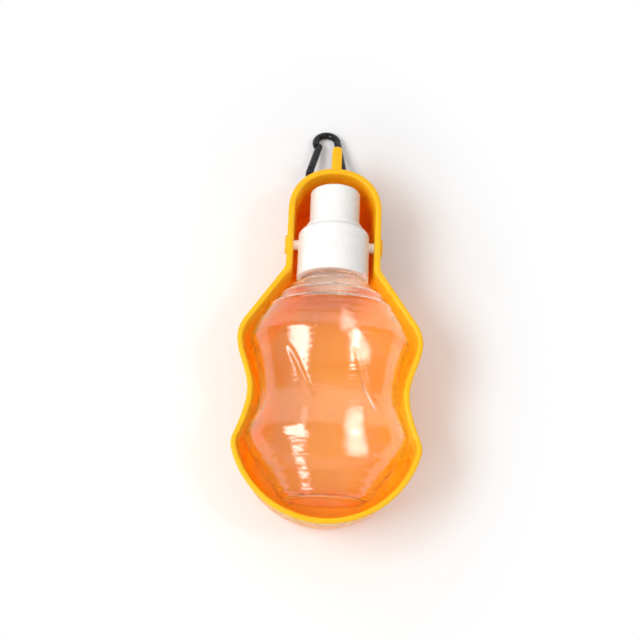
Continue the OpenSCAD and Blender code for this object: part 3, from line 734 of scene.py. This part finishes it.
# raised and sunk rings: distance below the pivot axis, height, half width
bottleRings = [
    (23.2, 0.30, 1.1), (28.2, 0.50, 1.2), (33.4, 0.55, 1.2), (41.5, 0.18, 1.6),
    (106.2, -0.34, 1.2), (112.8, -0.28, 1.0), (116.6, -0.28, 1.0), (120.3, -0.26, 0.9),
]
# slanted grooves pressed into the waist
grooves = {"count": 7, "first": 113.0, "at": 70.6, "turn": -0.825, "from": 57.0, "to": 87.0,
           "fade": 5, "deep": 0.7, "under": 0.15, "half": 1.35}


def bottleHalf(d, size):
    # half width at one distance below the pivot axis, without its rings
    if d < size["upperAt"]:
        run = size["upperAt"] - size["shoulderAt"]
        return cubic((d - size["shoulderAt"]) / run, size["rootRadius"], size["upperHalf"],
                     size["rootSlope"], size["upperSlopes"][0], run)
    if d < size["waistAt"]:
        run = size["waistAt"] - size["upperAt"]
        return cubic((d - size["upperAt"]) / run, size["upperHalf"], size["waistHalf"],
                     size["upperSlopes"][1], 0, run)
    if d < size["lowerAt"]:
        run = size["lowerAt"] - size["waistAt"]
        return cubic((d - size["waistAt"]) / run, size["waistHalf"], size["lowerHalf"],
                     0, size["lowerSlopes"][0], run)
    run = size["baseAt"] - size["lowerAt"]
    return cubic((d - size["lowerAt"]) / run, size["lowerHalf"], size["baseHalf"],
                 size["lowerSlopes"][1], size["baseSlope"], run)


def bottleRow(d, size):
    # outer surface at one distance, on the bottle's own axes: x across, y down to z up
    low, high = size["shoulderAt"], size["baseAt"]
    places = [min(max(d + k * size["near"], low), high) for k in (-1, 0, 1)]
    half = sum(bottleHalf(place, size) for place in places) / len(places)
    for at, height, width in bottleRings:
        half += height * math.exp(-((d - at) / width)**2 * size["ringFall"])
    flattening = smoothStep((d - low) / (size["upperAt"] - low - size["flatBefore"]))
    flat = 1 - (1 - size["flatness"]) * flattening
    a = np.linspace(0, 2 * math.pi, size["around"], endpoint=False)
    sink = np.zeros_like(a)
    fade = (smoothStep((d - grooves["from"]) / grooves["fade"])
            * smoothStep((grooves["to"] - d) / grooves["fade"]))
    for k in range(grooves["count"]):
        twist = grooves["turn"] * (d - grooves["at"])
        middle = -math.radians(grooves["first"] + 360 * k / grooves["count"] + twist)
        off = (a - middle + math.pi) % (2 * math.pi) - math.pi
        # deep on the side that shows, faint underneath
        deep = grooves["under"] + (grooves["deep"] - grooves["under"]) * smoothStep(0.5 - math.sin(middle))
        sink += deep * fade * np.exp(-(off * half / grooves["half"])**4)
    return np.stack([(half - sink) * np.cos(a), (half * flat - sink) * np.sin(a), np.full_like(a, -d)], 1)


def roundRow(d, radius, size):
    # a round row of the neck, with as many points as the body's
    a = np.linspace(0, 2 * math.pi, size["around"], endpoint=False)
    return np.stack([radius * np.cos(a), radius * np.sin(a), np.full_like(a, -d)], 1)


def rowNormals(rows):
    # which way is out at each point of the rows
    grid = np.stack(rows)
    along = np.gradient(grid, axis=0)
    around = (np.roll(grid, -1, 1) - np.roll(grid, 1, 1)) / 2
    normal = np.cross(around, along)
    normal /= np.linalg.norm(normal, axis=2, keepdims=True)
    outward = np.sign((normal[..., :2] * grid[..., :2]).sum(2).mean())
    return normal * outward


def uneven(row, size, phase):
    # how far the blown wall strays in or out at each point of a row
    across, along = size["lumpEvery"]
    fineAcross, fineAlong = size["fineEvery"]
    strays = []
    for x, y, z in row:
        coarse = lumps.noise((x / across, y / across, z / along + phase))
        fine = lumps.noise((x / fineAcross, y / fineAcross, z / fineAlong + 2 * phase))
        strays.append([size["lump"] * (coarse + size["fineLump"] * fine)])
    return np.array(strays)


def footRows(size):
    # the rounded foot ring and the shallow dish inside it
    last, r, inner = size["baseAt"], size["footRound"], size["innerRound"]
    edge = bottleRow(last, size)
    slant = size["footSlant"] * r
    steps = [(slant * math.sin(a) + r * (1 - math.cos(a)), r * (1 - math.sin(a)))
             for a in map(math.radians, spread(0, 90, 8)[1:])]
    ringIn = slant + r
    steps += [(ringIn - inner * math.cos(a), inner * (1 - math.sin(a)))
              for a in map(math.radians, spread(90, size["innerTurn"], 6)[1:])]
    dishIn, dishUp = steps[-1]
    for t in spread(0, 1, 10)[1:]:
        inset = dishIn + (size["dishEnd"] * size["baseHalf"] - dishIn) * t
        steps.append((inset, dishUp + (size["hollow"] - dishUp) * math.sin(math.pi / 2 * t)))
    return [edge * np.array([1 - i / size["baseHalf"], 1 - i / size["baseHalf"], 1]) + np.array([0, 0, up])
            for i, up in steps]


def neckProfile(size):
    # (distance, radius) pairs up the inside from the shoulder, round the mouth and down the outside
    capEnd, mouth, neckOut = size["capEnd"], size["mouth"], size["neckRadius"]
    neckIn = neckOut - size["neckWall"]
    endIn, endOut = size["neckEnds"]
    profile = [(capEnd + d, size["rootRadius"] - r) for d, r in size["funnel"]]
    profile += [(capEnd + endIn, neckIn)]
    profile += [(mouth + d, neckIn + r) for d, r in size["lipInside"]]
    profile += [(mouth + d, neckOut + r) for d, r in size["lipOutside"]]
    profile += [(capEnd + endOut, neckOut)]
    return profile + [(capEnd + d, r) for d, r in size["collar"]]


def makeBottle(size):
    last = size["baseAt"] - size["footRound"]
    smooth = [bottleRow(d, size) for d in spread(size["firstRow"], last, size["rows"])] + footRows(size)
    normals = rowNormals(smooth)
    outer, inner = [], []
    for row, n in zip(smooth, normals):
        outer.append(row + n * uneven(row, size, 0.0))
        inner.append(row - n * (size["wall"] + uneven(row, size, size["insidePhase"])))
    neck = [roundRow(d, r, size) for d, r in neckProfile(size)]
    # the first rows inside the shoulder give way to the funnel
    rows = inner[:3:-1] + neck + outer
    points, faces = loft([[tuple(p) for p in row] for row in rows])
    piece = meshPiece("bottle_body", points, faces, clear)
    piece.data.transform(onBottle)
    return dress(piece, "bottle", "bottle", "bottle")


def helixNodes(material):
    # a screw thread: a ridge of given width wound round the Z axis
    tree = bpy.data.node_groups.new("screw_thread", "GeometryNodeTree")
    asked = {name: askFor(tree, name, "NodeSocketFloat") for name in ("Radius", "Height", "Turns", "Ridge")}
    tree.interface.new_socket("Geometry", in_out="OUTPUT", socket_type="NodeSocketGeometry")
    given = tree.nodes.new("NodeGroupInput").outputs
    spiral = addNode(tree, "GeometryNodeCurveSpiral", Resolution=72, Rotations=given["Turns"],
                     Start_Radius=given["Radius"], End_Radius=given["Radius"], Height=given["Height"])
    ridge = addNode(tree, "GeometryNodeCurvePrimitiveCircle", Resolution=12, Radius=given["Ridge"])
    swept = addNode(tree, "GeometryNodeCurveToMesh", Curve=spiral.outputs[0], Profile_Curve=ridge.outputs[0],
                    Fill_Caps=True)
    finishTree(tree, swept.outputs[0], material)
    return tree, asked


def makeThread(size):
    ridge = thread["ridge"]
    top, bottom = size["mouth"] + thread["fromMouth"], size["capEnd"] - thread["toCapEnd"]
    piece = grown("neck_thread", bpy.data.meshes.new("neck_thread"), helixNodes(clear), {
        "Radius": (size["neckRadius"] + thread["rise"] - ridge) * mm,
        "Height": (bottom - top) * mm,
        "Turns": (bottom - top) / thread["pitch"],
        "Ridge": ridge * mm,
    })
    piece.data.transform(onBottle @ Matrix.Translation((0, 0, -bottom * mm)))
    return dress(piece, "bottle", "bottle")


makeBottle(bottle)
makeThread(bottle)
print("bottle made")

# ---- snap hook ----

# in the hook's own plane, X across and Y away from the ear, as bends of the middle of the wire
hook = {
    "wire": 3.8, "length": 36.6, "loopBend": 5.6, "loopX": -4.8, "cornerBend": 4.6, "cornerX": 0.2,
    "gateX": -13.3, "noseAngle": 208, "gateLean": 76.8, "rivetUp": 2.3, "rivetHole": 1.7,
    "tongueThick": 1.1, "tongueWide": 3.0, "tongueSunk": 0.8, "holeReach": 3,
    "flatSide": 0.6, "flatGap": 0.35, "restGap": 0.05, "lap": 1.7, "cutBack": 1,
    "sides": 36, "sharpFrom": 40,
}


def bend(centre, radius, start, end, steps):
    return [(centre[0] + radius * math.cos(a), centre[1] + radius * math.sin(a))
            for a in map(math.radians, spread(start, end, steps + 1))]


def hookPath(size):
    # the middle of the wire from the gate's foot round to the nose, and the far loop's centre
    loop = (size["loopX"], size["length"] - size["wire"] / 2 - size["loopBend"])
    corner = (size["cornerX"], size["cornerBend"])
    foot = (size["gateX"] + size["cornerBend"], size["cornerBend"])
    apart = (loop[0] - corner[0], loop[1] - corner[1])
    side = math.degrees(math.atan2(apart[1], apart[0])
                        - math.acos((size["cornerBend"] - size["loopBend"]) / math.hypot(*apart)))
    path = bend(foot, size["cornerBend"], 180, 270, 24)
    path += bend(corner, size["cornerBend"], 270, 360 + side, 30)
    path += bend(loop, size["loopBend"], side, size["noseAngle"], 60)
    return path, loop


def wireNodes(material):
    # round wire along a curve
    tree = bpy.data.node_groups.new("bent_wire", "GeometryNodeTree")
    tree.interface.new_socket("Geometry", in_out="INPUT", socket_type="NodeSocketGeometry")
    asked = {
        "Radius": askFor(tree, "Radius", "NodeSocketFloat"),
        "Sides": askFor(tree, "Sides", "NodeSocketInt"),
    }
    tree.interface.new_socket("Geometry", in_out="OUTPUT", socket_type="NodeSocketGeometry")
    given = tree.nodes.new("NodeGroupInput").outputs
    section = addNode(tree, "GeometryNodeCurvePrimitiveCircle", Resolution=given["Sides"],
                      Radius=given["Radius"])
    swept = addNode(tree, "GeometryNodeCurveToMesh", Curve=given["Geometry"],
                    Profile_Curve=section.outputs[0], Fill_Caps=True)
    finishTree(tree, swept.outputs[0], material)
    return tree, asked


def makeHook(size):
    path, loop = hookPath(size)
    data = bpy.data.curves.new("hook_path", "CURVE")
    data.dimensions = "3D"
    line = data.splines.new("POLY")
    line.points.add(len(path) - 1)
    for point, (x, y) in zip(line.points, path):
        point.co = (x * mm, y * mm, 0, 1)
    wire = size["wire"]
    piece = grown("hook_wire", data, wireNodes(enamel), {"Radius": wire / 2 * mm, "Sides": size["sides"]})
    rivet = (size["gateX"], size["cornerBend"] + size["rivetUp"])
    half, flat = size["tongueWide"] / 2, size["tongueThick"] / 2
    low = size["cornerBend"] - size["tongueSunk"]
    outline = [(rivet[0] + half * math.cos(a), rivet[1] + half * math.sin(a)) for a in spread(0, math.pi, 25)]
    outline += [(rivet[0] - half, low), (rivet[0] + half, low)]
    tongue = meshPiece("tongue", *loft([[(x, y, z) for x, y in outline] for z in (-flat, flat)]), enamel)
    boolean(piece, tongue, "UNION")
    r, reach = size["rivetHole"] / 2, size["holeReach"]
    hole = lathePiece("hole", [(nearAxis, -reach), (r, -reach), (r, reach), (nearAxis, reach)], 40, enamel)
    atRivet = Matrix.Translation((rivet[0] * mm, rivet[1] * mm, 0))
    hole.data.transform(atRivet)
    boolean(piece, hole, "DIFFERENCE")
    # the nose is flat inside, where the gate's tip meets it
    lean = math.radians(size["gateLean"])
    along = Vector((math.cos(lean), math.sin(lean)))
    nose = math.radians(size["noseAngle"])
    toLoop = Vector(loop) - Vector(rivet)
    toNose = [(toLoop + r * Vector((math.cos(nose), math.sin(nose)))).dot(along)
              for r in (size["loopBend"] + wire / 2, size["loopBend"])]
    face = size["flatSide"] + size["flatGap"] / 2
    end = toNose[1] + size["lap"] + size["flatGap"]
    cut = block("cut", (toNose[0] - size["cutBack"], face - wire, -wire), (end, face, wire), enamel)
    cut.data.transform(atRivet @ Matrix.Rotation(lean, 4, "Z"))
    boolean(piece, cut, "DIFFERENCE")
    swing = next(j for j in frame["joints"] if j["name"] == "hook_swing")["pos_m"]
    tilt = math.asin((swing[2] / mm - wire / 2 - size["restGap"]) / (size["length"] - wire / 2))
    piece.data.transform(Matrix.Translation(swing) @ Matrix.Rotation(-tilt, 4, "X"))
    piece.data.materials.clear()
    piece.data.materials.append(enamel)
    sharpen(piece, size["sharpFrom"])
    return dress(piece, "hook", "clip_wire", "clip_frame")


makeHook(hook)
print("hook made")

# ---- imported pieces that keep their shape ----

for node, material in {
    "cap_body": white, "nozzle": white, "neck_gasket": paleSilicone, "nozzle_o_ring": darkSilicone,
    "clip_gate": enamel, "clip_rivet": enamel, "clip_spring": steel,
}.items():
    mesh = frame["nodes"][node].data
    mesh.materials.clear()
    mesh.materials.append(material)
print("packed pieces finished")

# ---- studio ----

studio = {
    "aim": (0, 0, 0.03),             # metres, where the lamps point
    "key": {"towards": (-0.56, -0.15, 0.815), "distance": 0.85, "size": (0.52, 0.34), "power": 4.3},
    "fill": {"towards": (0.47, -0.10, 0.87), "distance": 0.95, "size": (0.11, 0.12), "power": 0.9},
    "front": {"towards": (-0.45, -0.72, 0.52), "distance": 1.0, "size": (0.22, 0.16), "power": 0.9},
    "skyLow": (0.22, 0.22, 0.22),    # light from all round, at the horizon and overhead
    "skyHigh": (0.76, 0.76, 0.76),
    "skyRise": (0.1, 1.0),           # heights of a direction between which the sky goes from low to high
    "room": (0.20, 0.12, 0.05),      # what gloss shows of the dim room overhead
    "backdrop": (1.0, 1.0, 1.0),     # and of the white paper, below and behind
    "paperLow": (0.06, 0.12),        # the paper's edges, as heights and depths of a direction
    "paperBehind": (0.42, 0.56),
    "glimpse": 0.5,                  # how much of the paper shows through the bottle anyway
    "floor": (0.86, 0.86, 0.86),
    "floorLift": 0.03,
    "floorReach": 4.0,
    "floorEnds": (0.07, 0.115),      # metres: the floor turns plain white between these
    "floorOval": (1.0, 0.62, 1.0),   # longer along the trough
}


def areaLamp(name, look):
    data = bpy.data.lights.new(name, "AREA")
    data.shape = "RECTANGLE"
    data.size, data.size_y = look["size"]
    data.energy = look["power"]
    lamp = bpy.data.objects.new(name, data)
    towards = Vector(look["towards"]).normalized()
    lamp.location = Vector(studio["aim"]) + towards * look["distance"]
    lamp.rotation_euler = towards.to_track_quat("Z", "Y").to_euler()
    bpy.context.scene.collection.objects.link(lamp)


def studioFloor(look):
    mesh = bpy.data.meshes.new("floor")
    s = look["floorReach"]
    mesh.from_pydata([(-s, -s, 0), (s, -s, 0), (s, s, 0), (-s, s, 0)], [], [(0, 1, 2, 3)])
    floor = bpy.data.objects.new("floor", mesh)
    bpy.context.scene.collection.objects.link(floor)
    material, tree, shader, output = startMaterial("studioFloor")
    grain = tuple(0.98 * c for c in look["floor"])
    fill(tree, shader.inputs["Base Color"], mixColour(tree, noise(tree, 6.0), look["floor"], grain))
    shader.inputs["Roughness"].default_value = 0.9
    shader.inputs["Specular IOR Level"].default_value = 0.1
    path = addNode(tree, "ShaderNodeLightPath")
    shader.inputs["Emission Color"].default_value = (1, 1, 1, 1)
    fill(tree, shader.inputs["Emission Strength"],
         calculate(tree, "MULTIPLY", path.outputs["Is Camera Ray"], look["floorLift"]))
    away = addNode(tree, "ShaderNodeVectorMath", {"operation": "LENGTH"})
    tree.links.new(stretched(tree, look["floorOval"]), away.inputs[0])
    far = between(tree, away.outputs["Value"], *look["floorEnds"])
    plain = calculate(tree, "MULTIPLY", far, path.outputs["Is Camera Ray"])
    mirrored = calculate(tree, "MAXIMUM", path.outputs["Is Glossy Ray"], path.outputs["Is Transmission Ray"])
    paper = addNode(tree, "ShaderNodeEmission", Color=(*look["backdrop"], 1.0))
    both = addNode(tree, "ShaderNodeMixShader")
    fill(tree, both.inputs[0], calculate(tree, "MAXIMUM", plain, mirrored))
    tree.links.new(shader.outputs[0], both.inputs[1])
    tree.links.new(paper.outputs[0], both.inputs[2])
    tree.links.new(both.outputs[0], output.inputs[0])
    mesh.materials.append(material)


def studioWorld(look):
    world = bpy.data.worlds.new("studio")
    bpy.context.scene.world = world
    world.use_nodes = True
    tree = world.node_tree
    tree.nodes.clear()
    output = tree.nodes.new("ShaderNodeOutputWorld")
    path = addNode(tree, "ShaderNodeLightPath")
    towards = addNode(tree, "ShaderNodeSeparateXYZ")
    tree.links.new(addNode(tree, "ShaderNodeTexCoord").outputs["Generated"], towards.inputs[0])
    low = between(tree, towards.outputs["Z"], *look["paperLow"], 1.0, 0.0)
    behind = between(tree, towards.outputs["Y"], *look["paperBehind"])
    paper = calculate(tree, "MAXIMUM", low, behind)
    mirrored = mixColour(tree, paper, look["room"], look["backdrop"])
    seen = calculate(tree, "MAXIMUM", paper, look["glimpse"])
    through = mixColour(tree, seen, look["room"], look["backdrop"])
    rise = between(tree, towards.outputs["Z"], *look["skyRise"])
    sky = mixColour(tree, rise, look["skyLow"], look["skyHigh"])
    light = mixColour(tree, path.outputs["Is Glossy Ray"], sky, mirrored)
    light = mixColour(tree, path.outputs["Is Transmission Ray"], light, through)
    light = mixColour(tree, path.outputs["Is Camera Ray"], light, look["backdrop"])
    glow = addNode(tree, "ShaderNodeBackground", Color=light, Strength=1.0)
    tree.links.new(glow.outputs[0], output.inputs[0])


for name in ("key", "fill", "front"):
    areaLamp(name, studio[name])
studioFloor(studio)
studioWorld(studio)
bpy.context.scene.view_settings.view_transform = "Standard"
print("studio set")
